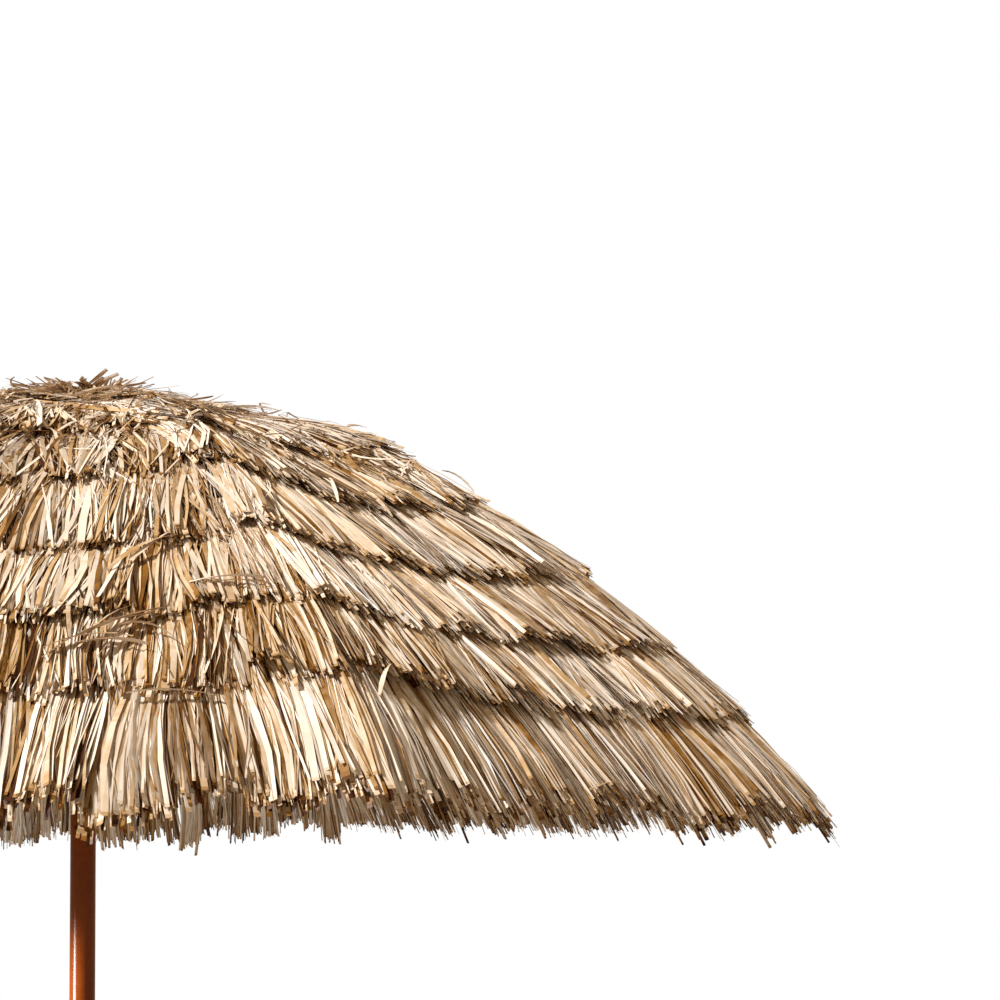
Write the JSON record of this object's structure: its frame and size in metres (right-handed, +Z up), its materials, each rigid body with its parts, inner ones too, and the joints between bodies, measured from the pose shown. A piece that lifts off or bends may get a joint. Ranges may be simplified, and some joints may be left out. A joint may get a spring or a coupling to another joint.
{
  "type": "thatched beach umbrella",
  "caption": "Round beach umbrella with a domed, tiered straw-thatch canopy over folding ribs, a sliding runner and a two-piece pole with a clamp.",
  "frame": {"origin": "middle of the pole's lower end", "axes": "+Z up along the pole; the canopy's flat sides face +X, +Y, -X and -Y and the four diagonals between"},
  "size_m": [1.8292, 1.8292, 2.291],
  "materials": {
    "pole": "gloss",
    "rib": "satin",
    "fitting": "matte",
    "knob": "matte",
    "nut": "satin",
    "wire": "satin",
    "canvas": "matte",
    "thatch": "matte"
  },
  "bodies": {
    "lower_pole": {"lower_pole": "pole", "foot_plug": "fitting", "clamp_collar": "fitting", "clamp_nut": "nut"},
    "thumb_screw": {"thumb_screw": "knob"},
    "upper_pole": {"upper_pole": "pole", "top_hub": "fitting", "hub_ring": "wire", "crown_patch": "canvas", "crown_cap": "fitting", "crown_screw": "wire", "crown_tuft": "thatch"},
    "catch_button": {"catch_button": "wire"},
    "runner": {"runner": "fitting"},
    "rib_1": {"rib_1": "rib", "rib_tip_1": "knob", "canopy_panel_1": "canvas", "thatch_panel_1": "thatch"},
    "stretcher_1": {"stretcher_1": "rib"},
    "rib_2": {"rib_2": "rib", "rib_tip_2": "knob", "canopy_panel_2": "canvas", "thatch_panel_2": "thatch"},
    "stretcher_2": {"stretcher_2": "rib"},
    "rib_3": {"rib_3": "rib", "rib_tip_3": "knob", "canopy_panel_3": "canvas", "thatch_panel_3": "thatch"},
    "stretcher_3": {"stretcher_3": "rib"},
    "rib_4": {"rib_4": "rib", "rib_tip_4": "knob", "canopy_panel_4": "canvas", "thatch_panel_4": "thatch"},
    "stretcher_4": {"stretcher_4": "rib"},
    "rib_5": {"rib_5": "rib", "rib_tip_5": "knob", "canopy_panel_5": "canvas", "thatch_panel_5": "thatch"},
    "stretcher_5": {"stretcher_5": "rib"},
    "rib_6": {"rib_6": "rib", "rib_tip_6": "knob", "canopy_panel_6": "canvas", "thatch_panel_6": "thatch"},
    "stretcher_6": {"stretcher_6": "rib"},
    "rib_7": {"rib_7": "rib", "rib_tip_7": "knob", "canopy_panel_7": "canvas", "thatch_panel_7": "thatch"},
    "stretcher_7": {"stretcher_7": "rib"},
    "rib_8": {"rib_8": "rib", "rib_tip_8": "knob", "canopy_panel_8": "canvas", "thatch_panel_8": "thatch"},
    "stretcher_8": {"stretcher_8": "rib"}
  },
  "joints": [
    {"name": "height_slide", "type": "slide", "parent": "lower_pole", "child": "upper_pole", "axis": [0, 0, 1], "range_m": [-0.1, 0.15]},
    {"name": "clamp_turn", "type": "hinge", "parent": "lower_pole", "child": "thumb_screw", "pos_m": [0.03696, -0.01531, 0.968], "axis": [0.9239, -0.3827, 0], "range_deg": [0, 360]},
    {"name": "catch_press", "type": "slide", "parent": "upper_pole", "child": "catch_button", "axis": [0.3827, -0.9239, 0], "range_m": [0, 0.0035], "stiffness_N_per_m": 600},
    {"name": "rib_1_fold", "type": "hinge", "parent": "upper_pole", "child": "rib_1", "pos_m": [0.02772, 0.01148, 2.21], "axis": [-0.3827, 0.9239, 0], "range_deg": [0, 57], "deforming": ["canopy_panel_1", "thatch_panel_1"]},
    {"name": "rib_2_fold", "type": "hinge", "parent": "upper_pole", "child": "rib_2", "pos_m": [0.01148, 0.02772, 2.21], "axis": [-0.9239, 0.3827, 0], "range_deg": [0, 57], "deforming": ["canopy_panel_2", "thatch_panel_2"]},
    {"name": "rib_3_fold", "type": "hinge", "parent": "upper_pole", "child": "rib_3", "pos_m": [-0.01148, 0.02772, 2.21], "axis": [-0.9239, -0.3827, 0], "range_deg": [0, 57], "deforming": ["canopy_panel_3", "thatch_panel_3"]},
    {"name": "rib_4_fold", "type": "hinge", "parent": "upper_pole", "child": "rib_4", "pos_m": [-0.02772, 0.01148, 2.21], "axis": [-0.3827, -0.9239, 0], "range_deg": [0, 57], "deforming": ["canopy_panel_4", "thatch_panel_4"]},
    {"name": "rib_5_fold", "type": "hinge", "parent": "upper_pole", "child": "rib_5", "pos_m": [-0.02772, -0.01148, 2.21], "axis": [0.3827, -0.9239, 0], "range_deg": [0, 57], "deforming": ["canopy_panel_5", "thatch_panel_5"]},
    {"name": "rib_6_fold", "type": "hinge", "parent": "upper_pole", "child": "rib_6", "pos_m": [-0.01148, -0.02772, 2.21], "axis": [0.9239, -0.3827, 0], "range_deg": [0, 57], "deforming": ["canopy_panel_6", "thatch_panel_6"]},
    {"name": "rib_7_fold", "type": "hinge", "parent": "upper_pole", "child": "rib_7", "pos_m": [0.01148, -0.02772, 2.21], "axis": [0.9239, 0.3827, 0], "range_deg": [0, 57], "deforming": ["canopy_panel_7", "thatch_panel_7"]},
    {"name": "rib_8_fold", "type": "hinge", "parent": "upper_pole", "child": "rib_8", "pos_m": [0.02772, -0.01148, 2.21], "axis": [0.3827, 0.9239, 0], "range_deg": [0, 57], "deforming": ["canopy_panel_8", "thatch_panel_8"]},
    {"name": "stretcher_1_turn", "type": "hinge", "parent": "rib_1", "child": "stretcher_1", "pos_m": [0.39013, 0.1616, 2.06598], "axis": [-0.3827, 0.9239, 0], "range_deg": [-114, 0]},
    {"name": "stretcher_2_turn", "type": "hinge", "parent": "rib_2", "child": "stretcher_2", "pos_m": [0.1616, 0.39013, 2.06598], "axis": [-0.9239, 0.3827, 0], "range_deg": [-114, 0]},
    {"name": "stretcher_3_turn", "type": "hinge", "parent": "rib_3", "child": "stretcher_3", "pos_m": [-0.1616, 0.39013, 2.06598], "axis": [-0.9239, -0.3827, 0], "range_deg": [-114, 0]},
    {"name": "stretcher_4_turn", "type": "hinge", "parent": "rib_4", "child": "stretcher_4", "pos_m": [-0.39013, 0.1616, 2.06598], "axis": [-0.3827, -0.9239, 0], "range_deg": [-114, 0]},
    {"name": "stretcher_5_turn", "type": "hinge", "parent": "rib_5", "child": "stretcher_5", "pos_m": [-0.39013, -0.1616, 2.06598], "axis": [0.3827, -0.9239, 0], "range_deg": [-114, 0]},
    {"name": "stretcher_6_turn", "type": "hinge", "parent": "rib_6", "child": "stretcher_6", "pos_m": [-0.1616, -0.39013, 2.06598], "axis": [0.9239, -0.3827, 0], "range_deg": [-114, 0]},
    {"name": "stretcher_7_turn", "type": "hinge", "parent": "rib_7", "child": "stretcher_7", "pos_m": [0.1616, -0.39013, 2.06598], "axis": [0.9239, 0.3827, 0], "range_deg": [-114, 0]},
    {"name": "stretcher_8_turn", "type": "hinge", "parent": "rib_8", "child": "stretcher_8", "pos_m": [0.39013, -0.1616, 2.06598], "axis": [0.3827, 0.9239, 0], "range_deg": [-114, 0]},
    {"name": "runner_slide", "type": "slide", "parent": "upper_pole", "child": "runner", "axis": [0, 0, -1], "range_m": [0, 0.52681]}
  ],
  "couplings": [
    {"joint": "rib_2_fold", "follows": "rib_1_fold", "ratio": 1},
    {"joint": "rib_3_fold", "follows": "rib_1_fold", "ratio": 1},
    {"joint": "rib_4_fold", "follows": "rib_1_fold", "ratio": 1},
    {"joint": "rib_5_fold", "follows": "rib_1_fold", "ratio": 1},
    {"joint": "rib_6_fold", "follows": "rib_1_fold", "ratio": 1},
    {"joint": "rib_7_fold", "follows": "rib_1_fold", "ratio": 1},
    {"joint": "rib_8_fold", "follows": "rib_1_fold", "ratio": 1},
    {"joint": "stretcher_1_turn", "follows": "rib_1_fold", "ratio": -2},
    {"joint": "stretcher_2_turn", "follows": "rib_1_fold", "ratio": -2},
    {"joint": "stretcher_3_turn", "follows": "rib_1_fold", "ratio": -2},
    {"joint": "stretcher_4_turn", "follows": "rib_1_fold", "ratio": -2},
    {"joint": "stretcher_5_turn", "follows": "rib_1_fold", "ratio": -2},
    {"joint": "stretcher_6_turn", "follows": "rib_1_fold", "ratio": -2},
    {"joint": "stretcher_7_turn", "follows": "rib_1_fold", "ratio": -2},
    {"joint": "stretcher_8_turn", "follows": "rib_1_fold", "ratio": -2},
    {"joint": "runner_slide", "follows": "rib_1_fold", "m_per_rad": 0.52954}
  ]
}
